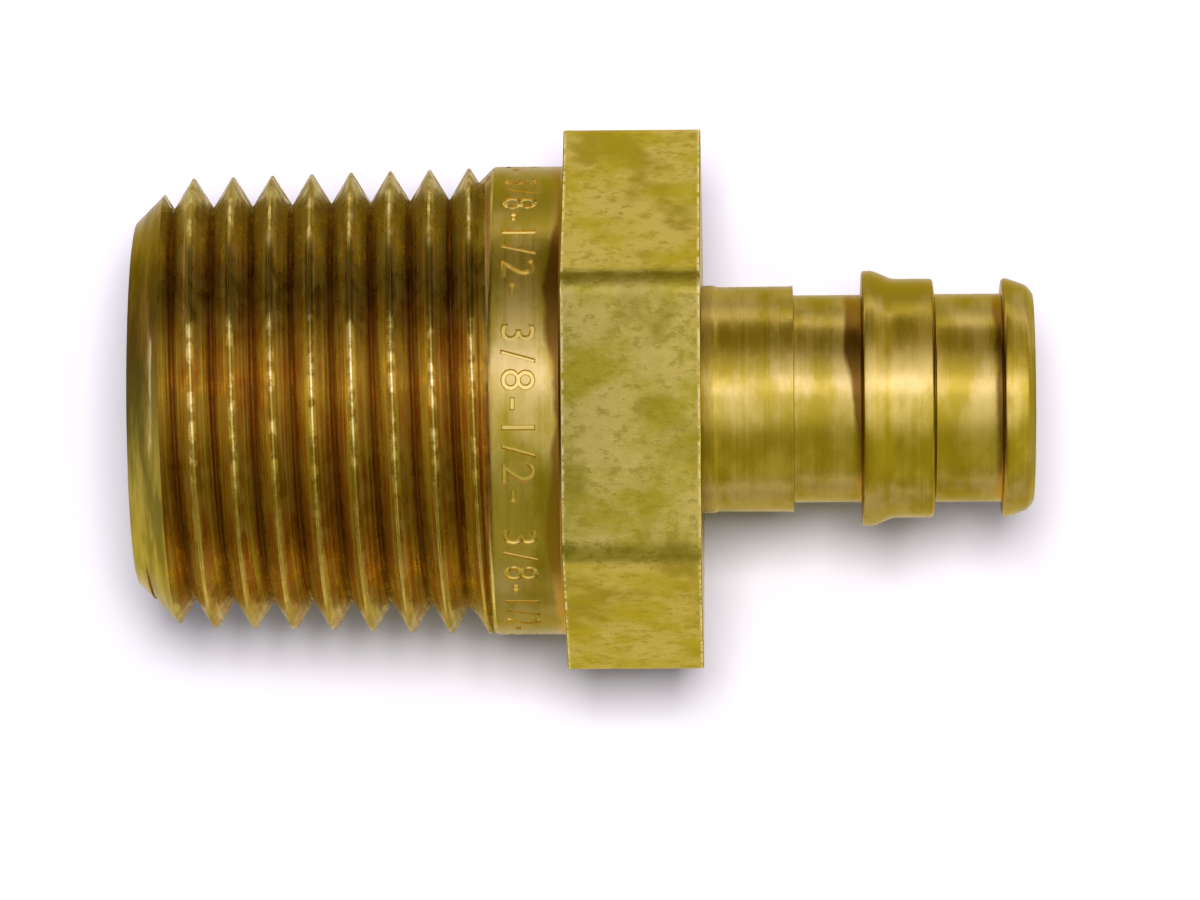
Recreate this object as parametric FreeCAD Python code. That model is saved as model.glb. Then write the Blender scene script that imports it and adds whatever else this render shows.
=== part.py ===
import FreeCAD, Part
import math
import os

# Brass male adapter in one piece: taper pipe thread, collar, spanner hexagon and ribbed tube spigot
# Millimetres. +X runs along the axis towards the tube, +Z is up, and two hexagon flats lie level
# The origin is on the axis, in the face of the hexagon that the tube butts against

# Spanner hexagon, left standing from the drawn bar
hex_across_flats = 22.0
hex_corner_radius = 1.4
hex_length = 6.3

# Collar between the hexagon and the shoulder where the thread runs out
collar_diameter = 21.6
collar_length = 3.2
collar_cove = 0.15
shoulder_angle = 45.0

# Right-handed taper pipe thread, its crest diameter taken in the plane of the end face
threads_per_inch = 14
thread_taper = 1.0 / 16.0
thread_length = 16.5
thread_depth = 1.4
thread_crest_diameter = 20.54
thread_start_angle = 20.0
end_face_diameter = 16.7
end_chamfer_angle = 45.0

# Spigot for the tube, each length following on from the one before, starting at the hexagon
base_diameter = 10.4
base_length = 4.2
waist_diameter = 9.56
waist_length = 3.2
rib_peak_diameter = 11.78
rib_peak_length = 0.5
rib_slope_length = 0.9
rib_band_diameter = 11.02
rib_band_length = 1.9
rib_edge_break = 0.25
groove_diameter = 9.6
groove_length = 3.1
flange_face_diameter = 10.5
flange_rise_length = 0.3
flange_peak_diameter = 11.04
flange_taper_length = 0.85
flange_end_diameter = 10.36
nose_length = 0.3
nose_diameter = 9.6

# Bores: the wide one is bored to a flat floor, the narrow one runs on through the spigot
pipe_bore_diameter = 14.0
pipe_bore_depth = 20.5
tube_bore_diameter = 6.8
mouth_chamfer = 0.35

# The thread's edges are drawn half a turn at a time, each through this many steps
steps_per_half_turn = 8

inch = 25.4
pitch = inch / threads_per_inch
shoulder_slope = math.tan(math.radians(shoulder_angle))
chamfer_slope = math.tan(math.radians(end_chamfer_angle))
shoulder_x = -hex_length - collar_length
thread_end_x = shoulder_x - thread_length
cone_tip_x = shoulder_x - collar_diameter / 2 / shoulder_slope
waist_x = base_length
rib_x = waist_x + waist_length
rib_slope_x = rib_x + rib_peak_length
rib_band_x = rib_slope_x + rib_slope_length
groove_x = rib_band_x + rib_band_length
flange_x = groove_x + groove_length
flange_peak_x = flange_x + flange_rise_length
nose_x = flange_peak_x + flange_taper_length
spigot_end_x = nose_x + nose_length


def turned(outline):
    # Solid of revolution about the axis from (x, diameter) corners
    corners = [FreeCAD.Vector(x, diameter / 2, 0) for x, diameter in outline]
    face = Part.Face(Part.makePolygon(corners + corners[:1]))
    return face.revolve(FreeCAD.Vector(0, 0, 0), FreeCAD.Vector(1, 0, 0), 360)


def around(x, diameter, angle):
    # Point on a circle about the axis, its angle counted from +Y towards +Z
    turn = math.radians(angle)
    return FreeCAD.Vector(x, diameter / 2 * math.cos(turn), diameter / 2 * math.sin(turn))


def hexagon_bar():
    # Drawn bar with rounded corners, two of its flats level
    across_corners = 2 * hex_across_flats / math.sqrt(3)
    corners = [around(cone_tip_x, across_corners, 60 * number) for number in range(6)]
    bar_length = spigot_end_x - cone_tip_x
    bar = Part.Face(Part.makePolygon(corners + corners[:1])).extrude(FreeCAD.Vector(bar_length, 0, 0))
    long_edges = [edge for edge in bar.Edges if edge.BoundBox.XLength > bar_length / 2]
    return bar.makeFillet(hex_corner_radius, long_edges)


def plain_body():
    # The bar turned down on both sides of the hexagon, with the shoulder's cone inside the thread
    outside_bar = 2 * hex_across_flats
    return turned([
        (cone_tip_x, 0),
        (shoulder_x, collar_diameter),
        (-hex_length - collar_cove, collar_diameter),
        (-hex_length, collar_diameter + 2 * collar_cove),
        (-hex_length, outside_bar),
        (0, outside_bar),
        (0, base_diameter),
        (waist_x, base_diameter),
        (waist_x, waist_diameter),
        (rib_x, waist_diameter),
        (rib_x, rib_peak_diameter),
        (rib_slope_x, rib_peak_diameter),
        (rib_band_x, rib_band_diameter),
        (groove_x - rib_edge_break, rib_band_diameter),
        (groove_x, rib_band_diameter - 2 * rib_edge_break),
        (groove_x, groove_diameter),
        (flange_x, groove_diameter),
        (flange_x, flange_face_diameter),
        (flange_peak_x, flange_peak_diameter),
        (nose_x, flange_end_diameter),
        (spigot_end_x, nose_diameter),
        (spigot_end_x, 0),
    ]).common(hexagon_bar())


def crest_diameter(x):
    return thread_crest_diameter + thread_taper * (x - thread_end_x)


def root_x(angle):
    # Where the thread's root has got to, at an angle counted through all the turns
    return thread_end_x + pitch * (angle - thread_start_angle) / 360


def root_point(angle):
    x = root_x(angle)
    return around(x, crest_diameter(x) - 2 * thread_depth, angle)


def crest_point(angle):
    x = root_x(angle) + pitch / 2
    return around(x, crest_diameter(x), angle)


def axis_point(angle):
    return around(root_x(angle), 0, angle)


def travel_at(point_at, angle):
    # How far the point moves for each degree of turn
    step = 0.001
    return (point_at(angle + step) - point_at(angle - step)) * (1 / (2 * step))


def helical_edge(point_at, start):
    # Smooth edge over half a turn that leaves both its ends in the helix's own direction
    angles = [start + 180 * step / steps_per_half_turn for step in range(steps_per_half_turn + 1)]
    edge = Part.BSplineCurve()
    edge.interpolate(
        Points=[point_at(angle) for angle in angles],
        Parameters=angles,
        InitialTangent=travel_at(point_at, angles[0]),
        FinalTangent=travel_at(point_at, angles[-1]),
        Scale=False,
    )
    return edge


def ruled_wall(edge, next_edge):
    # Face of straight lines between two helical edges
    surface = Part.BSplineSurface()
    surface.buildFromPolesMultsKnots(
        [edge.getPoles(), next_edge.getPoles()],
        [2, 2],
        edge.getMultiplicities(),
        [0, 1],
        edge.getKnots(),
        False,
        False,
        1,
        edge.Degree,
    )
    return surface.toShape()


def threaded_rod():
    # Closed skin of flank after flank, from beyond the end face to beyond the shoulder
    # A spiral floor down to the axis and a flat riser across one turn close each end
    turns = math.ceil(thread_length / pitch) + 2
    first = thread_start_angle - 360 - 90
    last = first + 360 * turns
    faces = []
    for start in range(2 * turns):
        angle = first + 180 * start
        crest = helical_edge(crest_point, angle)
        faces.append(ruled_wall(helical_edge(root_point, angle), crest))
        faces.append(ruled_wall(crest, helical_edge(root_point, angle + 360)))
    for end in (first, last):
        for angle in (end, end + 180):
            faces.append(ruled_wall(helical_edge(axis_point, angle), helical_edge(root_point, angle)))
        riser = [
            axis_point(end),
            root_point(end),
            crest_point(end),
            root_point(end + 360),
            axis_point(end + 360),
        ]
        faces.append(Part.Face(Part.makePolygon(riser + riser[:1])))
    skin = Part.makeCompound(faces)
    skin.sewShape()
    rod = Part.makeSolid(skin.Shells[0])
    if rod.Volume < 0:
        rod.reverse()
    return rod


def threaded_end():
    # The rod cut square at the end face, chamfered there, and cut square again at the shoulder
    outside_thread = 2 * collar_diameter
    chamfer_length = (outside_thread - end_face_diameter) / 2 / chamfer_slope
    return turned([
        (thread_end_x, 0),
        (thread_end_x, end_face_diameter),
        (thread_end_x + chamfer_length, outside_thread),
        (shoulder_x, outside_thread),
        (shoulder_x, 0),
    ]).common(threaded_rod())


def bores():
    # Both bores as one turned core, with chamfered mouths
    pipe_bore_end_x = thread_end_x + pipe_bore_depth
    return turned([
        (thread_end_x, 0),
        (thread_end_x, pipe_bore_diameter + 2 * mouth_chamfer),
        (thread_end_x + mouth_chamfer, pipe_bore_diameter),
        (pipe_bore_end_x, pipe_bore_diameter),
        (pipe_bore_end_x, tube_bore_diameter),
        (spigot_end_x - mouth_chamfer, tube_bore_diameter),
        (spigot_end_x, tube_bore_diameter + 2 * mouth_chamfer),
        (spigot_end_x, 0),
    ])


def adapter_body():
    return plain_body().fuse(threaded_end()).cut(bores())


os.makedirs("parts", exist_ok=True)
adapter_body().exportStep("parts/adapter_body.step")
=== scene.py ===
import math

import bpy
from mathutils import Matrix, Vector


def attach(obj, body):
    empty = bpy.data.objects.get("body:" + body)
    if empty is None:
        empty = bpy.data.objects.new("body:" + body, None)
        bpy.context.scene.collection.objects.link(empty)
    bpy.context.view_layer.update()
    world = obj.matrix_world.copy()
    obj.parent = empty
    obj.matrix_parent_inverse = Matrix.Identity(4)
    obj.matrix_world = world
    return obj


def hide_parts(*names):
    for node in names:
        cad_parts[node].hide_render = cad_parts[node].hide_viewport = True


# Brass male adapter: the tube's ribbed spigot towards +X, taper pipe thread towards -X, camera above.
# Sizes in the dictionaries are millimetres and degrees, where no note says otherwise.
mm = 0.001

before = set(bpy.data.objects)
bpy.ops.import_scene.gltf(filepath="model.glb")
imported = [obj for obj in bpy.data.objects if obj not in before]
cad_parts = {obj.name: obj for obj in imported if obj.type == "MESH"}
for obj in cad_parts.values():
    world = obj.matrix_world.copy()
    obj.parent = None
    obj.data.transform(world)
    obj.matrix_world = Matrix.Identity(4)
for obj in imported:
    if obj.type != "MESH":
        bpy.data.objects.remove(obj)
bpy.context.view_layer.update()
print("frame loaded")


def deselectAll():
    bpy.ops.object.select_all(action="DESELECT")


def takeUp(piece):
    # make this the only selected and active object
    deselectAll()
    piece.select_set(True)
    bpy.context.view_layer.objects.active = piece


def settle():
    # the object's place and turn go into its mesh
    bpy.ops.object.transform_apply(location=True, rotation=True, scale=True)


def faceOutwards():
    # in edit mode: every face points out
    bpy.ops.mesh.select_all(action="SELECT")
    bpy.ops.mesh.normals_make_consistent(inside=False)


def mergePoints(distance):
    # in edit mode: points nearer than this become one
    bpy.ops.mesh.select_all(action="SELECT")
    bpy.ops.mesh.remove_doubles(threshold=distance * mm)


def radiusAt(point):
    return math.hypot(point.y, point.z) / mm


def selectEdges(piece, wanted):
    # in edit mode: select the edges whose two ends pass the test
    bpy.ops.mesh.select_mode(type="EDGE")
    bpy.ops.mesh.select_all(action="DESELECT")
    bpy.ops.object.mode_set(mode="OBJECT")
    points = piece.data.vertices
    for edge in piece.data.edges:
        edge.select = wanted(*[points[number].co for number in edge.vertices])
    bpy.ops.object.mode_set(mode="EDIT")


def applyModifier(piece, kind, **values):
    takeUp(piece)
    modifier = piece.modifiers.new(kind.title(), kind)
    for name, value in values.items():
        setattr(modifier, name, value)
    bpy.ops.object.modifier_apply(modifier=modifier.name)


def combine(piece, tool, operation):
    # a boolean that uses the tool up
    applyModifier(piece, "BOOLEAN", operation=operation, solver="EXACT", object=tool)
    bpy.data.objects.remove(tool)


turning = {
    "sides": 192,
    "near": 0.002,              # a corner is found within this of its place
    "smallRounding": 0.2,       # a rounding below this gets the fewer segments
    "fewSegments": 3,
    "segments": 6,
}


def turnedSolid(name, outline):
    # a disc extruded and scaled along the outline of (x, radius, rounding), its corners then bevelled
    startX, startRadius, _ = outline[0]
    deselectAll()
    bpy.ops.mesh.primitive_circle_add(
        vertices=turning["sides"], radius=startRadius * mm, fill_type="NGON",
        location=(startX * mm, 0, 0), rotation=(0, math.radians(90), 0),
    )
    piece = bpy.context.object
    piece.name = name
    settle()
    bpy.ops.object.mode_set(mode="EDIT")
    bpy.ops.mesh.select_all(action="SELECT")
    for (x, radius, _), (nextX, nextRadius, _) in zip(outline, outline[1:]):
        bpy.ops.mesh.extrude_region_move(TRANSFORM_OT_translate={"value": ((nextX - x) * mm, 0, 0)})
        growth = nextRadius / radius
        bpy.ops.transform.resize(value=(1, growth, growth), center_override=(0, 0, 0))
    faceOutwards()
    for rounding in sorted({corner[2] for corner in outline if corner[2]}):
        places = [corner[:2] for corner in outline if corner[2] == rounding]

        def onCorner(point):
            return any(
                math.hypot(point.x / mm - x, radiusAt(point) - radius) < turning["near"]
                for x, radius in places
            )

        selectEdges(piece, lambda a, b: onCorner(a) and onCorner(b))
        count = turning["fewSegments" if rounding < turning["smallRounding"] else "segments"]
        bpy.ops.mesh.bevel(offset=rounding * mm, segments=count, profile=0.5, affect="EDGES")
    bpy.ops.object.mode_set(mode="OBJECT")
    return piece


# The bar turned down on both sides of the hexagon

blank = {
    "coneTip": -20.0,
    "shoulder": -9.5,
    "collarRadius": 10.8,
    "coveRadius": 0.1,
    "hexLeft": -6.3,
    "hexRight": 0.0,
    "discRadius": 13.5,         # beyond the hexagon's corners
    "acrossFlats": 22.0,
    "cornerRadius": 1.4,
    "cornerSegments": 8,
    "barLength": 60.0,
    "rimFrom": 10.98,           # an edge of the hexagon's ends is its rim from this radius out
    "rimBevel": 0.05,
    "rimSegments": 2,
}

spigotOutline = [      # x, radius, rounding
    (0.0, 5.24, 0.0),
    (0.55, 5.26, 0.05),
    (0.75, 5.18, 0.03),
    (4.0, 5.2, 0.0),
    (4.2, 5.23, 0.03),
    (4.22, 4.78, 0.0),
    (7.3, 4.78, 0.05),
    (7.36, 5.89, 0.13),
    (7.88, 5.89, 0.12),
    (8.76, 5.51, 0.2),
    (10.62, 5.51, 0.12),
    (10.72, 4.8, 0.05),
    (13.74, 4.8, 0.05),
    (13.79, 5.6, 0.3),
    (14.95, 5.18, 0.12),
    (15.25, 4.8, 0.08),
]


def bodyOutline():
    # the cone under the thread's last turns, the collar, the hexagon's disc, the spigot
    shoulder, collar, left = blank["shoulder"], blank["collarRadius"], blank["hexLeft"]
    tip, cove, disc = blank["coneTip"], blank["coveRadius"], blank["discRadius"]
    return [
        (tip, collar - (shoulder - tip), 0.0),
        (shoulder, collar, 0.12),
        (left - cove, collar, 0.0),
        (left, collar + cove, 0.0),
        (left, disc, 0.0),
        (blank["hexRight"], disc, 0.0),
    ] + spigotOutline


def hexagonBar():
    # drawn bar with rounded corners and level flats above and below
    length = blank["barLength"] * mm
    deselectAll()
    bpy.ops.mesh.primitive_cylinder_add(
        vertices=6, radius=blank["acrossFlats"] / math.sqrt(3) * mm, depth=length,
        rotation=(0, math.radians(90), 0),
    )
    bar = bpy.context.object
    bar.name = "hexagonBar"
    settle()
    bpy.ops.object.mode_set(mode="EDIT")
    selectEdges(bar, lambda a, b: abs(a.x - b.x) > length / 2)
    bpy.ops.mesh.bevel(
        offset=blank["cornerRadius"] * math.tan(math.radians(30)) * mm,
        segments=blank["cornerSegments"], profile=0.5, affect="EDGES",
    )
    bpy.ops.object.mode_set(mode="OBJECT")
    return bar


def turnedBlank():
    body = turnedSolid("adapterBody", bodyOutline())
    combine(body, hexagonBar(), "INTERSECT")
    takeUp(body)
    bpy.ops.object.mode_set(mode="EDIT")
    for rim in (blank["hexLeft"], blank["hexRight"]):
        def onRim(point):
            return abs(point.x / mm - rim) < turning["near"] and radiusAt(point) > blank["rimFrom"]

        selectEdges(body, lambda a, b: onRim(a) and onRim(b))
        bpy.ops.mesh.bevel(
            offset=blank["rimBevel"] * mm, segments=blank["rimSegments"], profile=0.5, affect="EDGES")
    bpy.ops.object.mode_set(mode="OBJECT")
    return body


# The taper thread: one pitch of its profile swept round and tapered

thread = {
    "pitch": 25.4 / 14,
    "turns": 11,
    "stepsPerTurn": 192,
    "crestRadius": 10.27,      # in the plane of the end face
    "radiusGrowth": 1 / 32,    # for each length along the axis
    "depth": 1.38,
    "crestFlat": 0.1,
    "rootFlat": 0.03,
    "rounding": 0.04,
    "roundingSegments": 3,
    "startAngle": 20.0,        # of the root in the end face, from +Y towards +Z
    "endFace": -26.0,
    "endFaceRadius": 8.35,
    "outside": 14.0,           # clear of all crests
    "inside": -9.45,           # just within the collar
}


def sweptRod():
    pitch, growth, end = thread["pitch"], thread["radiusGrowth"], thread["endFace"]
    radiusAtOrigin = thread["crestRadius"] - growth * end      # a taper scales about the origin
    middle = (end + thread["inside"]) / 2
    depth = thread["depth"] / (1 + middle * growth / radiusAtOrigin)
    flank = (pitch - thread["crestFlat"] - thread["rootFlat"]) / 2
    startX = end - pitch * (1 + thread["startAngle"] / 360)
    deselectAll()
    bpy.ops.mesh.primitive_plane_add(size=mm, location=(startX * mm, (radiusAtOrigin - depth) * mm, 0))
    rod = bpy.context.object
    rod.name = "threadRod"
    settle()
    bpy.ops.object.mode_set(mode="EDIT")
    bpy.ops.mesh.select_mode(type="VERT")
    bpy.ops.mesh.select_all(action="SELECT")
    bpy.ops.mesh.merge(type="CENTER")
    for along, outwards in (
        (thread["rootFlat"] / 2, 0),
        (flank, depth),
        (thread["crestFlat"], 0),
        (flank, -depth),
        (thread["rootFlat"] / 2, 0),
    ):
        travel = (along * mm, outwards * mm, 0)
        bpy.ops.mesh.extrude_region_move(TRANSFORM_OT_translate={"value": travel})
    bpy.ops.mesh.select_all(action="DESELECT")
    bpy.ops.object.mode_set(mode="OBJECT")
    for vertex in rod.data.vertices:
        vertex.select = turning["near"] < vertex.co.x / mm - startX < pitch - turning["near"]
    bpy.ops.object.mode_set(mode="EDIT")
    bpy.ops.mesh.bevel(
        offset=thread["rounding"] * mm, segments=thread["roundingSegments"],
        profile=0.5, affect="VERTICES",
    )
    bpy.ops.object.mode_set(mode="OBJECT")
    applyModifier(
        rod, "SCREW", axis="X", angle=math.tau, screw_offset=pitch * mm, iterations=thread["turns"],
        steps=thread["stepsPerTurn"], render_steps=thread["stepsPerTurn"],
        use_merge_vertices=False, use_smooth_shade=False,
    )
    bpy.ops.object.mode_set(mode="EDIT")
    mergePoints(turning["near"])
    bpy.ops.object.mode_set(mode="OBJECT")
    xs = [vertex.co.x for vertex in rod.data.vertices]
    length = max(xs) - min(xs)
    applyModifier(
        rod, "SIMPLE_DEFORM", deform_method="TAPER", deform_axis="X",
        factor=length / mm * growth / radiusAtOrigin,
    )
    for openEnd in (min(xs), max(xs)):
        bpy.ops.object.mode_set(mode="EDIT")
        bpy.ops.mesh.select_mode(type="EDGE")
        bpy.ops.mesh.select_all(action="DESELECT")
        bpy.ops.mesh.select_non_manifold(extend=False)
        bpy.ops.object.mode_set(mode="OBJECT")
        points = rod.data.vertices

        def atEnd(number):
            return abs(points[number].co.x - openEnd) < 1.5 * pitch * mm

        for edge in rod.data.edges:
            edge.select = edge.select and all(atEnd(number) for number in edge.vertices)
        for vertex in points:
            vertex.select = vertex.select and atEnd(vertex.index)
        bpy.ops.object.mode_set(mode="EDIT")
        bpy.ops.mesh.edge_face_add()
        bpy.ops.mesh.poke()
    faceOutwards()
    bpy.ops.object.mode_set(mode="OBJECT")
    return rod


def threadedEnd():
    # the rod cut square and chamfered at its end face, and cut square again within the collar
    outside, end = thread["outside"], thread["endFace"]
    envelope = turnedSolid("threadEnvelope", [
        (end, thread["endFaceRadius"], 0.0),
        (end + outside - thread["endFaceRadius"], outside, 0.0),
        (thread["inside"], outside, 0.0),
    ])
    rod = sweptRod()
    combine(rod, envelope, "INTERSECT")
    return rod


# Both bores as one turned core

bores = {
    "pipeRadius": 7.0,
    "pipeEnd": -5.5,
    "tubeRadius": 3.4,
    "tubeEnd": 15.25,
    "mouthChamfer": 0.35,
    "rounding": 0.04,
    "beyond": 0.5,             # how far the core stands out of both ends
}


def boreCore():
    pipe, tube, chamfer = bores["pipeRadius"], bores["tubeRadius"], bores["mouthChamfer"]
    start, stop, end = thread["endFace"], bores["pipeEnd"], bores["tubeEnd"]
    rounding, beyond = bores["rounding"], bores["beyond"]
    return turnedSolid("boreCore", [
        (start - beyond, pipe + chamfer + beyond, 0.0),
        (start + chamfer, pipe, rounding),
        (stop, pipe, rounding),
        (stop, tube, rounding),
        (end - chamfer, tube, rounding),
        (end + beyond, tube + chamfer + beyond, 0.0),
    ])


# Size figures pressed into the collar

figures = {
    "row": "3/8-1/2- ",        # repeated all round
    "repeats": 7,
    "height": 2.2,
    "middle": -8.3,
    "startAngle": -72.0,
    "depth": 0.12,
    "above": 0.2,              # how far the cutters stand out of the collar
    "bevel": 0.05,
    "boldness": 0.02,
    "curveSteps": 3,
    "merging": 0.0005,         # points nearer than this become one
    "left": -9.3,              # where the row's cuts lie along the axis
    "right": -7.2,
}


def figureRow():
    # each figure is a text made a mesh and turned round the axis to its place, head to the hexagon
    row = figures["row"] * figures["repeats"]
    above, depth = figures["above"], figures["depth"]
    made = []
    for number, figure in enumerate(row):
        if figure == " ":
            continue
        deselectAll()
        bpy.ops.object.text_add(rotation=(0, 0, math.radians(-90)))
        text = bpy.context.object
        text.data.body = figure
        text.data.align_x, text.data.align_y = "CENTER", "CENTER"
        text.data.size = figures["height"] * mm
        text.data.resolution_u = figures["curveSteps"]
        text.data.extrude = (above + depth) / 2 * mm
        text.data.bevel_depth = figures["bevel"] * mm
        text.data.bevel_resolution = 0
        text.data.offset = (figures["boldness"] - figures["bevel"]) * mm
        text.location = (figures["middle"] * mm, 0, (blank["collarRadius"] + (above - depth) / 2) * mm)
        bpy.ops.object.convert(target="MESH")
        settle()
        bpy.ops.object.mode_set(mode="EDIT")
        mergePoints(figures["merging"])
        bpy.ops.object.mode_set(mode="OBJECT")
        turn = -math.radians(figures["startAngle"] + 360 * number / len(row))
        bpy.ops.transform.rotate(value=turn, orient_axis="X", center_override=(0, 0, 0))
        settle()
        made.append(text)
    takeUp(made[0])
    for text in made:
        text.select_set(True)
    bpy.ops.object.join()
    return made[0]


# Nodes for the finishes, the floor and the sky

def newMaterial(name):
    material = bpy.data.materials.new(name)
    material.use_nodes = True
    material.node_tree.nodes.clear()
    return material


def addNode(material, kind, values=None, **settings):
    node = material.node_tree.nodes.new(kind)
    for name, value in settings.items():
        setattr(node, name, value)
    for socket, value in (values or {}).items():
        if isinstance(value, bpy.types.NodeSocket):
            material.node_tree.links.new(value, node.inputs[socket])
        else:
            node.inputs[socket].default_value = value
    return node


def finish(material, shader):
    addNode(material, "ShaderNodeOutputMaterial", {"Surface": shader.outputs[0]})


def calculate(material, operation, first, second=None, third=None):
    given = {0: first, 1: second, 2: third}
    values = {number: value for number, value in given.items() if value is not None}
    return addNode(material, "ShaderNodeMath", values, operation=operation).outputs[0]


def times(material, first, second):
    return calculate(material, "MULTIPLY", first, second)


def largest(material, first, *others):
    for other in others:
        first = calculate(material, "MAXIMUM", first, other)
    return first


def gap(material, start, end):
    # how far it is from start to end, less than nothing where end lies before it
    return calculate(material, "SUBTRACT", end, start)


def axes(material):
    # the object's x, y and z in millimetres
    place = addNode(material, "ShaderNodeTexCoord")
    scaled = addNode(material, "ShaderNodeMapping", {
        "Vector": place.outputs["Object"], "Scale": (1 / mm, 1 / mm, 1 / mm),
    })
    return addNode(material, "ShaderNodeSeparateXYZ", {0: scaled.outputs[0]}).outputs


def noiseAt(material, place, scale, detail, roughness):
    return addNode(material, "ShaderNodeTexNoise", {
        "Vector": place, "Scale": scale, "Detail": detail, "Roughness": roughness,
    }).outputs["Fac"]


def stretchedNoise(material, scale, detail, roughness=0.5, stretch=(1, 1, 1)):
    place = addNode(material, "ShaderNodeTexCoord").outputs["Object"]
    stretched = addNode(material, "ShaderNodeMapping", {"Vector": place, "Scale": stretch})
    return noiseAt(material, stretched.outputs[0], scale, detail, roughness)


def spread(material, factor, fromLow, fromHigh, low=0.0, high=1.0):
    # low up to fromLow, high from fromHigh on, and a soft step between them
    node = addNode(material, "ShaderNodeMapRange", {
        "Value": factor, "From Min": fromLow, "From Max": fromHigh, "To Min": low, "To Max": high,
    }, interpolation_type="SMOOTHSTEP")
    return node.outputs[0]


def blendColours(material, factor, first, second):
    node = addNode(material, "ShaderNodeMix", {"Factor": factor}, data_type="RGBA")
    for socket, colour in ((node.inputs[6], first), (node.inputs[7], second)):
        if isinstance(colour, bpy.types.NodeSocket):
            material.node_tree.links.new(colour, socket)
        else:
            socket.default_value = (*colour, 1)
    return node.outputs[2]


def dimmed(material, colour, factor):
    return blendColours(material, factor, (0.0, 0.0, 0.0), colour)


def glancing(material, fromFacing, toFacing, least):
    # painted shade: 1 where the surface faces the eye, falling where it turns away
    layer = addNode(material, "ShaderNodeLayerWeight", {"Blend": 0.5})
    return spread(material, layer.outputs["Facing"], fromFacing, toFacing, 1.0, least)


def bumped(material, height, distance, under=None):
    values = {"Height": height, "Distance": distance * mm, "Strength": 1.0}
    if under:
        values["Normal"] = under
    return addNode(material, "ShaderNodeBump", values).outputs[0]


# Brass finishes. Scales of noise are for metres, and places and depths are in millimetres.
# A pair of numbers is a span: over that of a noise or a place one thing gives way to another,
# and a roughness or a reach runs from its first number to its second.

brass = {
    "wornRim": (0.85, 0.72, 0.32),
    "edgeTint": (0.87, 0.78, 0.45, 1),      # at glancing angles
}


def brassShader(material, colour, roughness, normal, edgeTint=(1.0, 1.0, 1.0, 1.0)):
    finish(material, addNode(material, "ShaderNodeBsdfPrincipled", {
        "Base Color": colour, "Metallic": 1.0, "Roughness": roughness, "Specular Tint": edgeTint,
        "Normal": normal,
    }))
    return material


drawnLook = {
    "colour": (0.58, 0.46, 0.1),
    "dark": (0.39, 0.31, 0.024),
    "stain": (0.3, 0.235, 0.014),
    "blotchScale": 380,
    "blotches": (0.36, 0.62),
    "stainScale": 260,
    "stains": (0.5, 0.66),
    "stainShare": 0.8,
    "speckScale": 2300,
    "specks": (0.5, 0.64),
    "speckShare": 0.55,
    "dentDepth": 0.06,
    "speckDepth": 0.018,
    "wear": (0.05, 0.2),            # inwards from each rim
    "wornSpecks": (0.4, 0.6),
    "roughness": (0.34, 0.5),
}


def drawnBrass():
    # the bar's own skin: blotched, stained and faintly dented
    material = newMaterial("drawnBrass")
    cloud = stretchedNoise(material, drawnLook["blotchScale"], 5, 0.65, stretch=(0.8, 1, 1))
    stain = stretchedNoise(material, drawnLook["stainScale"], 4, 0.55, stretch=(1, 0.8, 0.8))
    speck = stretchedNoise(material, drawnLook["speckScale"], 3, 0.7, stretch=(0.7, 1, 1))
    blotched = spread(material, cloud, *drawnLook["blotches"])
    colour = blendColours(material, blotched, drawnLook["dark"], drawnLook["colour"])
    for pattern, span, share in ((stain, "stains", "stainShare"), (speck, "specks", "speckShare")):
        cover = spread(material, pattern, *drawnLook[span], 0.0, drawnLook[share])
        colour = blendColours(material, cover, colour, drawnLook["stain"])
    x = axes(material)[0]
    whole, nothing = drawnLook["wear"]
    worn = largest(
        material,
        spread(material, x, blank["hexLeft"] + whole, blank["hexLeft"] + nothing, 1.0, 0.0),
        spread(material, x, blank["hexRight"] - nothing, blank["hexRight"] - whole),
    )
    worn = times(material, worn, spread(material, speck, *drawnLook["wornSpecks"]))
    rimmed = blendColours(material, worn, colour, brass["wornRim"])
    dents = bumped(material, cloud, drawnLook["dentDepth"])
    marks = bumped(material, speck, drawnLook["speckDepth"], under=dents)
    roughness = spread(material, cloud, 0.35, 0.65, *drawnLook["roughness"])
    return brassShader(material, rimmed, roughness, marks, brass["edgeTint"])


turnedLook = {
    "colour": (0.78, 0.58, 0.15),
    "dark": (0.53, 0.385, 0.032),
    "cornerShadeColour": (0.2, 0.1, 0.012),         # painted corner shade, behind the axis
    "brown": (0.4, 0.225, 0.035),       # painted corner shade, before it
    "cornerShadeAcross": (-5.0, 1.0),        # along Y
    "ringScale": 1.5,                   # for millimetres
    "ringShare": 0.5,                   # of the rings beside the clouds
    "ringDepth": 0.008,
    "cloudScale": 500,
    "cloudDepth": 0.03,
    "darkToColour": (0.6, 0.9),
    "turnedAway": (0.2, 0.48),          # painted shade where the surface turns away: 0 faces the eye, 1 is edge-on
    "turnedAwayLevel": 0.42,
    "collarSpan": 0.1,                  # the collar is dimmer than the rest, up to the hexagon
    "collarLevel": 0.82,
    "roughness": (0.22, 0.32),
}

cornerShadePlaces = {      # painted shade in the corners: where they lie along the axis, and how far they reach out of the corner
    "ribFace": 7.4,
    "ribReach": (0.38, 0.78),
    "flangeFace": 13.86,
    "flangeReach": (0.33, 0.5),
    "reachGrows": (-0.5, 3.5),          # along Y
    "grooveStart": 10.55,
    "grooveReach": 0.12,
    "collarReach": 0.48,
    "collarSwing": 0.27,                # more at the hexagon's corners and less at its flats
    "raggedness": (-0.14, 0.16),
    "bareEdge": (-0.03, 0.0),
}

# painted shade: the chamfer is darker behind the axis than before it
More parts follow.
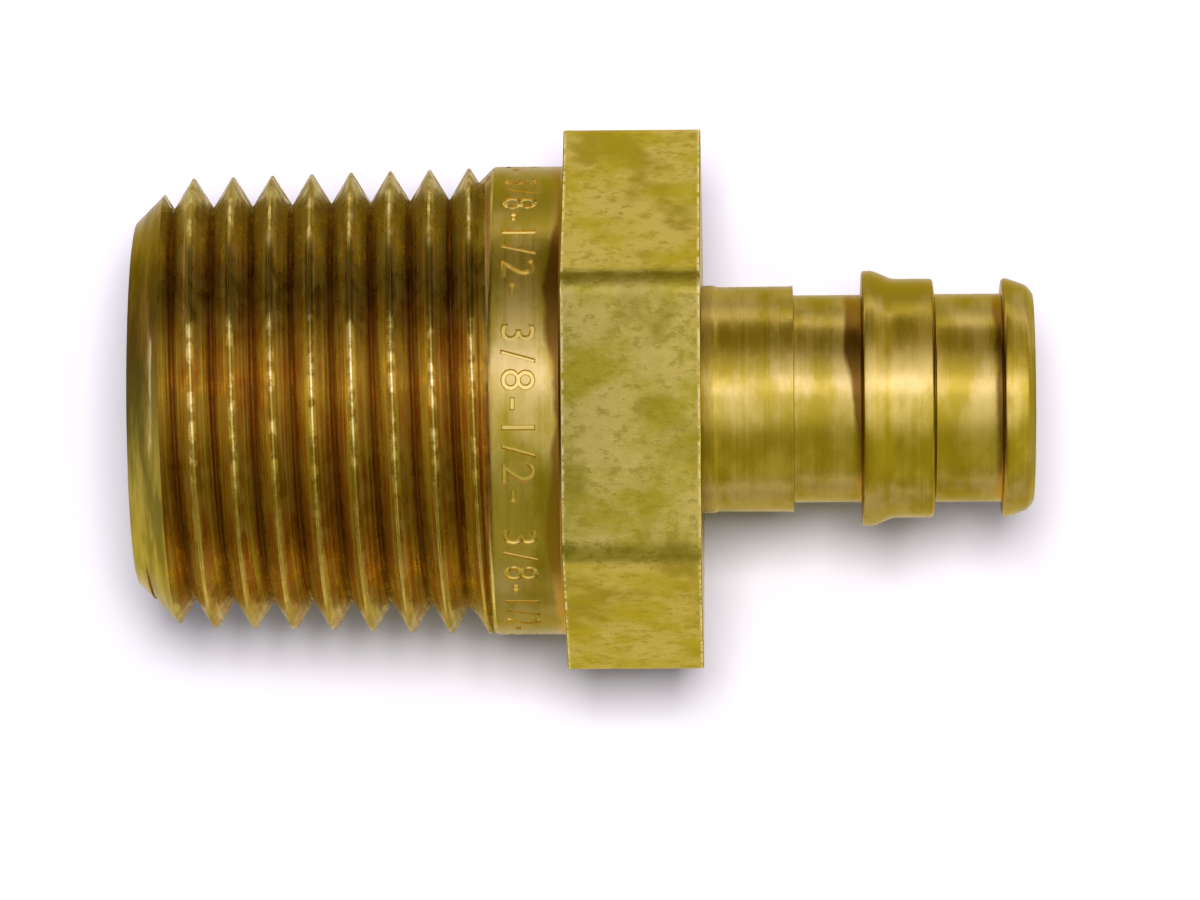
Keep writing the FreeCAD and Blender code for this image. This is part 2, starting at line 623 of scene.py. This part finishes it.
chamferLook = {
    "before": (0.38, 0.295, 0.045),
    "behind": (0.155, 0.09, 0.014),
    "beforeToBehind": (-2.5, 4.0),      # along Y
    "end": (-23.7, -23.5),
    "patchScale": 900,
    "patches": (0.38, 0.6),
    "patchLevel": 0.45,
    # a line by the first crest, partly wear and partly painted highlight
    "wearAndGlintLine": -24.8,
    "wearAndGlintReach": 0.04,
    "wearAndGlintShare": 0.6,
    "glintToLine": (0.3, 1.0),
}

glintPlaces = {      # painted highlight along Y: where the crests come to shine, leave off, and shine again
    "comes": (-6.0, -1.0),
    "least": 0.12,
    "leaves": (4.0, 5.2),
    "returns": (7.4, 8.4),
    "returnShare": 0.7,
    "chips": (0.44, 0.6),
}


def tornEdge(material, distance, reach, cloud):
    # 1 within reach of an edge and 0 beyond, its border ragged; distance counts away from the edge
    ragged = calculate(material, "SUBTRACT", cloud, 0.5)
    left = gap(material, distance, calculate(material, "ADD", reach, ragged))
    within = spread(material, left, *cornerShadePlaces["raggedness"])
    return times(material, within, spread(material, distance, *cornerShadePlaces["bareEdge"]))


def paintedGlints(material, y, chips):
    # painted highlight on a crest: broken bits before the axis and just behind it, fewer further out
    near = spread(material, y, *glintPlaces["comes"], glintPlaces["least"], 1.0)
    far = largest(
        material,
        spread(material, y, *glintPlaces["leaves"], 1.0, 0.0),
        spread(material, y, *glintPlaces["returns"], 0.0, glintPlaces["returnShare"]),
    )
    return times(material, times(material, near, far), spread(material, chips, *glintPlaces["chips"]))


def paintedCornerShade(material, x, y, z, cloud):
    # painted shade: dark bands in the corners that the tool cuts up to
    flats = 6.0
    turn = calculate(material, "ARCTAN2", z, y)
    corner = calculate(material, "COSINE", times(material, turn, flats))
    collarReach = calculate(
        material, "MULTIPLY_ADD", corner, cornerShadePlaces["collarSwing"], cornerShadePlaces["collarReach"])
    ribReach, flangeReach = (
        spread(material, y, *cornerShadePlaces["reachGrows"], *cornerShadePlaces[key])
        for key in ("ribReach", "flangeReach")
    )
    places = [
        (gap(material, x, blank["hexLeft"]), collarReach),
        (gap(material, x, cornerShadePlaces["ribFace"]), ribReach),
        (gap(material, x, cornerShadePlaces["flangeFace"]), flangeReach),
        (gap(material, cornerShadePlaces["grooveStart"], x), cornerShadePlaces["grooveReach"]),
    ]
    bands = [tornEdge(material, distance, reach, cloud) for distance, reach in places]
    return largest(material, *bands)


def chamferColour(material, x, y):
    # patches drawn out round the thread's chamfer, painted shade darker behind the axis, and a line by
    # its first crest in worn colour, partly wear and partly painted highlight
    patches = stretchedNoise(material, chamferLook["patchScale"], 4, 0.6, stretch=(1.6, 0.16, 0.16))
    # painted shade: darker behind the axis
    across = spread(material, y, *chamferLook["beforeToBehind"])
    plain = blendColours(material, across, chamferLook["before"], chamferLook["behind"])
    level = spread(material, patches, *chamferLook["patches"], chamferLook["patchLevel"], 1.0)
    distance = gap(material, x, chamferLook["wearAndGlintLine"])
    line = tornEdge(material, distance, chamferLook["wearAndGlintReach"], patches)
    paintedShine = paintedGlints(material, y, patches)
    share = spread(material, paintedShine, *chamferLook["glintToLine"], 0.0, chamferLook["wearAndGlintShare"])
    # painted highlight: the worn colour shows on the line only where the painted glints lie
    worn = times(material, line, share)
    return blendColours(material, worn, dimmed(material, plain, level), brass["wornRim"])


def turnedBrass():
    # rings left by the tool, with painted shade where the surface turns from the eye and in the
    # corners, and the chamfer's colour with its painted shade and highlight
    material = newMaterial("turnedBrass")
    x, y, z = axes(material)
    radius = calculate(
        material, "SQRT", calculate(material, "MULTIPLY_ADD", y, y, times(material, z, z)))
    place = addNode(material, "ShaderNodeCombineXYZ", {0: x, 1: radius, 2: times(material, y, 0.01)})
    rings = noiseAt(material, place.outputs[0], turnedLook["ringScale"], 3.5, 0.62)
    cloud = stretchedNoise(material, turnedLook["cloudScale"], 4, 0.6, stretch=(1, 0.5, 0.5))
    ringed = calculate(material, "MULTIPLY_ADD", rings, turnedLook["ringShare"], cloud)
    lighter = spread(material, ringed, *turnedLook["darkToColour"])
    colour = blendColours(material, lighter, turnedLook["dark"], turnedLook["colour"])
    # painted shade: the colour darkens where the surface turns from the eye
    glancingShade = glancing(material, *turnedLook["turnedAway"], turnedLook["turnedAwayLevel"])
    colour = dimmed(material, colour, glancingShade)
    collarEnd = blank["hexLeft"] - turnedLook["collarSpan"]
    level = spread(material, x, collarEnd, blank["hexLeft"], turnedLook["collarLevel"], 1.0)
    colour = dimmed(material, colour, level)
    onChamfer = spread(material, x, *chamferLook["end"], 1.0, 0.0)
    colour = blendColours(material, onChamfer, colour, chamferColour(material, x, y))
    # painted shade in the corners, its colour darker behind the axis
    across = spread(material, y, *turnedLook["cornerShadeAcross"])
    cornerShadeColour = blendColours(material, across, turnedLook["brown"], turnedLook["cornerShadeColour"])
    colour = blendColours(material, paintedCornerShade(material, x, y, z, cloud), colour, cornerShadeColour)
    grooves = bumped(material, rings, turnedLook["ringDepth"])
    uneven = bumped(material, cloud, turnedLook["cloudDepth"], under=grooves)
    roughness = spread(material, rings, 0.3, 0.7, *turnedLook["roughness"])
    return brassShader(material, colour, roughness, uneven, brass["edgeTint"])


stampedLook = {
    "colour": (0.8, 0.64, 0.15),
    "grainScale": 2500,
    "grainDepth": 0.01,
    "roughness": 0.32,
}


def stampedBrass():
    material = newMaterial("stampedBrass")
    grain = stretchedNoise(material, stampedLook["grainScale"], 3)
    colour = blendColours(material, grain, turnedLook["colour"], stampedLook["colour"])
    rough = bumped(material, grain, stampedLook["grainDepth"])
    return brassShader(material, colour, stampedLook["roughness"], rough)


threadLook = {
    "brown": (0.55, 0.375, 0.095),
    "red": (0.5, 0.25, 0.055),
    "olive": (0.63, 0.51, 0.12),
    "root": (0.4, 0.22, 0.05),
    "crestDull": (0.44, 0.3, 0.05),
    "shadedCrest": (0.2, 0.13, 0.022),
    "crestGlint": (0.97, 0.8, 0.3),
    "cloudScale": 350,
    "redToBrown": (0.4, 0.6),
    "browner": 0.02,                    # for each millimetre along Y
    "streaksPerPitch": 13.0,
    "streaks": (0.42, 0.6),
    "streakDepth": 0.035,
    "chipScale": 1500,
    "chipDepth": 0.012,
    "glintScale": 950,
    "rootSpan": (0.0, 0.08),            # of the height from root to crest
    "crestSpan": (0.85, 0.98),
    "crestShadeFrom": (3.6, 5.2),             # along Y: the crests' band of painted shade
    "crestShadeTo": (7.2, 8.4),
    "turnedAway": (0.52, 0.7),          # painted shade where the surface turns away: 0 faces the eye, 1 is edge-on
    "turnedAwayLevel": 0.62,
    "behind": (3.0, 7.0),               # along Y: painted shade, the thread is dimmer behind
    "behindLevel": 0.72,
    "roughness": (0.4, 0.22),
}


def threadBrass():
    # streaks that run along the helix and change slowly round it, a dark root, painted glints and a
    # band of painted shade on the crest, painted shade behind and where it turns from the eye
    material = newMaterial("threadBrass")
    x, y, z = axes(material)
    turn = calculate(material, "ARCTAN2", z, y)
    along = calculate(material, "MULTIPLY_ADD", turn, -thread["pitch"] / math.tau, x)
    rootX = thread["endFace"] - thread["pitch"] * thread["startAngle"] / 360
    turns = calculate(material, "DIVIDE", gap(material, rootX, along), thread["pitch"])
    wave = calculate(material, "COSINE", times(material, turns, math.tau))
    height = calculate(material, "MULTIPLY_ADD", wave, -0.5, 0.5)      # 0 in the root, 1 on the crest
    place = addNode(material, "ShaderNodeCombineXYZ", {
        0: times(material, calculate(material, "FRACT", turns), threadLook["streaksPerPitch"]),
        1: calculate(material, "MULTIPLY_ADD", x, 0.25, times(material, y, 0.1)),
        2: times(material, z, 0.1),
    })
    streak = noiseAt(material, place.outputs[0], 1.0, 1.0, 0.5)
    cloud = stretchedNoise(material, threadLook["cloudScale"], 3)
    chips = stretchedNoise(material, threadLook["chipScale"], 1, stretch=(1.4, 0.7, 0.7))
    glints = stretchedNoise(material, threadLook["glintScale"], 4, 0.65)
    browner = calculate(material, "MULTIPLY_ADD", y, threadLook["browner"], cloud)
    redToBrown = spread(material, browner, *threadLook["redToBrown"])
    colour = blendColours(material, redToBrown, threadLook["red"], threadLook["brown"])
    streaked = spread(material, streak, *threadLook["streaks"])
    colour = blendColours(material, streaked, colour, threadLook["olive"])
    offRoot = spread(material, height, *threadLook["rootSpan"])
    colour = blendColours(material, offRoot, threadLook["root"], colour)
    # painted shade: a band of the crests along Y is darkened
    crestShadeBand = times(
        material,
        spread(material, y, *threadLook["crestShadeFrom"]),
        spread(material, y, *threadLook["crestShadeTo"], 1.0, 0.0),
    )
    crest = blendColours(material, crestShadeBand, threadLook["crestDull"], threadLook["shadedCrest"])
    # painted highlight: the crests take the glint colour where the painted glints lie
    crest = blendColours(material, paintedGlints(material, y, glints), crest, threadLook["crestGlint"])
    onCrest = spread(material, height, *threadLook["crestSpan"])
    colour = blendColours(material, onCrest, colour, crest)
    # painted shade: the thread darkens where it turns from the eye
    glancingShade = glancing(material, *threadLook["turnedAway"], threadLook["turnedAwayLevel"])
    colour = dimmed(material, colour, glancingShade)
    # painted shade: the thread is dimmer behind the axis
    behind = spread(material, y, *threadLook["behind"], 1.0, threadLook["behindLevel"])
    colour = dimmed(material, colour, behind)
    ridged = bumped(material, streak, threadLook["streakDepth"])
    torn = bumped(material, chips, threadLook["chipDepth"], under=ridged)
    roughness = spread(material, chips, 0.35, 0.65, *threadLook["roughness"])
    return brassShader(material, colour, roughness, torn, brass["edgeTint"])


# The adapter put together

body = turnedBlank()
print("blank turned")
combine(body, threadedEnd(), "UNION")
print("thread cut")
combine(body, boreCore(), "DIFFERENCE")
print("bores drilled")
combine(body, figureRow(), "DIFFERENCE")
print("collar marked")
takeUp(body)
bpy.ops.object.mode_set(mode="EDIT")
faceOutwards()
bpy.ops.object.mode_set(mode="OBJECT")
sharpFrom = 32
bpy.ops.object.shade_smooth_by_angle(angle=math.radians(sharpFrom))

finishes = {
    "turned": turnedBrass,
    "drawn": drawnBrass,
    "thread": threadBrass,
    "stamped": stampedBrass,
}

border = {
    "chamferWithin": 0.03,      # a face this near the chamfer's cone is the chamfer's
    "threadFrom": 8.2,          # radius that the bores don't reach
    "hexagonFrom": 10.9,        # radius that the collar doesn't reach
    "endFrom": 0.1,             # a normal this much along the axis is the hexagon's end's
    "figuresFrom": 10.5,        # the pressed figures lie between this radius
    "figuresBelow": 0.03,       # and this far under the collar's
}


def finishOf(face):
    # which finish a face gets, by where it lies
    x, radius = face.center.x / mm, radiusAt(face.center)
    offChamfer = abs(x - thread["endFace"] - radius + thread["endFaceRadius"])
    onThread = x < thread["inside"] and radius > border["threadFrom"]
    if onThread and offChamfer >= border["chamferWithin"]:
        return "thread"
    onHexagon = blank["hexLeft"] < x < blank["hexRight"] and radius > border["hexagonFrom"]
    if onHexagon and abs(face.normal.x) < border["endFrom"]:
        return "drawn"
    underCollar = blank["collarRadius"] - border["figuresBelow"]
    if figures["left"] < x < figures["right"] and border["figuresFrom"] < radius < underCollar:
        return "stamped"
    return "turned"


body.data.materials.clear()
for makeMaterial in finishes.values():
    body.data.materials.append(makeMaterial())
slots = list(finishes)
for face in body.data.polygons:
    face.material_index = slots.index(finishOf(face))
print("brass finished")

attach(body, "root")
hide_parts("adapter_body")

# Floor and sky

studio = {
    "floorColour": (0.86, 0.86, 0.86),
    "seenColour": (0.38, 0.363, 0.39),      # to the camera and in the brass: open floor comes out white
    "floorSize": 3.0,                       # metres
    "floorLean": 2.1,
    "worldBehind": (1.0, 0.84, 0.32),       # towards +Y
    "worldBefore": (1.0, 0.97, 0.32),       # towards -Y
    "worldLevel": 0.33,
    "worldSlope": (0.23, -0.09, 0),         # brighter towards +X and -Y
    "worldToneSpan": (-0.3, 0.9),
    "lobeColour": (0.95, 0.97, 1.5, 1),
    "lobeStrength": 0.65,
    "lobeLean": 13.0,
    "lobeReach": 50.0,
    "lobeStretch": 0.3,                     # along the axis
}


def layFloor():
    # paper that takes the light as one colour and is seen as another, leaning under the hexagon's end
    lean = math.radians(studio["floorLean"])
    lowest = -blank["acrossFlats"] / 2 + blank["hexLeft"] * math.tan(lean)
    deselectAll()
    bpy.ops.mesh.primitive_plane_add(
        size=studio["floorSize"], rotation=(0, lean, 0), location=(0, 0, lowest * mm))
    floor = bpy.context.object
    floor.name = "floor"
    paper = newMaterial("paper")
    path = addNode(paper, "ShaderNodeLightPath")
    matt, seen = (
        addNode(paper, "ShaderNodeBsdfDiffuse", {"Color": (*studio[key], 1)})
        for key in ("floorColour", "seenColour")
    )
    shown = largest(paper, path.outputs["Is Camera Ray"], path.outputs["Is Glossy Ray"])
    finish(paper, addNode(
        paper, "ShaderNodeMixShader", {0: shown, 1: matt.outputs[0], 2: seen.outputs[0]}))
    floor.data.materials.append(paper)
    return floor


def hangSky():
    # a nearly even sky with one broad soft band over the object, a little off the vertical
    world = bpy.data.worlds.new("studio")
    bpy.context.scene.world = world
    world.use_nodes = True
    world.node_tree.nodes.clear()
    place = addNode(world, "ShaderNodeTexCoord").outputs["Generated"]
    narrowed = addNode(world, "ShaderNodeMapping", {
        "Vector": place, "Scale": (studio["lobeStretch"], 1, 1),
    })
    direction = addNode(world, "ShaderNodeVectorMath", {0: narrowed.outputs[0]}, operation="NORMALIZE")
    lean, reach = math.radians(studio["lobeLean"]), math.radians(studio["lobeReach"])
    facing = addNode(world, "ShaderNodeVectorMath", {
        0: direction.outputs[0], 1: (0, math.sin(lean), math.cos(lean)),
    }, operation="DOT_PRODUCT")
    strength = spread(
        world, facing.outputs["Value"], math.cos(reach), 1.0, 0.0, studio["lobeStrength"])
    slope = addNode(world, "ShaderNodeVectorMath", {
        0: place, 1: studio["worldSlope"],
    }, operation="DOT_PRODUCT")
    level = calculate(world, "ADD", slope.outputs["Value"], studio["worldLevel"])
    y = addNode(world, "ShaderNodeSeparateXYZ", {0: place}).outputs[1]
    across = spread(world, y, *studio["worldToneSpan"])
    tone = blendColours(world, across, studio["worldBefore"], studio["worldBehind"])
    even = addNode(world, "ShaderNodeBackground", {"Color": tone, "Strength": level})
    lobe = addNode(world, "ShaderNodeBackground", {"Color": studio["lobeColour"], "Strength": strength})
    sky = addNode(world, "ShaderNodeAddShader", {0: even.outputs[0], 1: lobe.outputs[0]})
    addNode(world, "ShaderNodeOutputWorld", {"Surface": sky.outputs[0]})


floor = layFloor()
hangSky()
print("floor and sky ready")

# Lamps: one lights the brass, and one draws the shadow on the floor and isn't mirrored in the brass

lampDistance = 0.62      # metres, as the lamps' lengths and widths; power in watts
lamps = {
    "softbox": {
        "lean": 18.5, "turn": 0, "length": 2.0, "width": 0.2,
        "colour": (1.0, 1.0, 2.5), "power": 0.85, "mirrored": True,
    },
    "shadowLamp": {
        "lean": 12.0, "turn": 1.0, "length": 0.16, "width": 0.15,
        "colour": (1.0, 0.99, 0.98), "power": 9.3, "mirrored": False,
    },
}


def hangLamp(name, lean, turn, length, width, colour, power, mirrored):
    # an area lamp over the origin and aimed at it, leaning towards +Y and turned towards +X
    place = Vector((math.tan(math.radians(turn)), math.tan(math.radians(lean)), 1)).normalized()
    bpy.ops.object.light_add(
        type="AREA", location=place * lampDistance,
        rotation=place.to_track_quat("Z", "Y").to_euler(),
    )
    lamp = bpy.context.object
    lamp.name = name
    lamp.data.shape = "RECTANGLE"
    lamp.data.size, lamp.data.size_y = length, width
    lamp.data.color = colour
    lamp.data.energy = power
    lamp.visible_glossy = mirrored


for name, values in lamps.items():
    hangLamp(name, **values)
print("lamps hung")

# The camera of the photograph

view = {
    "lens": 250.0,
    "sensor": 36.0,
    "distance": 385.0,
    "target": (-4.74, -2.31, 0.0),
    "tilt": -4.5,
    "turn": 1.02,
    "roll": -0.45,
    "nearest": 10.0,          # what the camera sees lies between these two
    "furthest": 10000.0,
}

bpy.ops.object.camera_add(rotation=[math.radians(view[key]) for key in ("tilt", "turn", "roll")])
camera = bpy.context.object
camera.name = "camera"
camera.data.sensor_width = view["sensor"]
camera.data.lens = view["lens"]
camera.data.clip_start = view["nearest"] * mm
camera.data.clip_end = view["furthest"] * mm
backwards = camera.matrix_world.to_quaternion() @ Vector((0, 0, 1))
camera.location = Vector(view["target"]) * mm + backwards * view["distance"] * mm
bpy.context.scene.camera = camera

bpy.context.scene.view_settings.view_transform = "Standard"

print("scene ready")
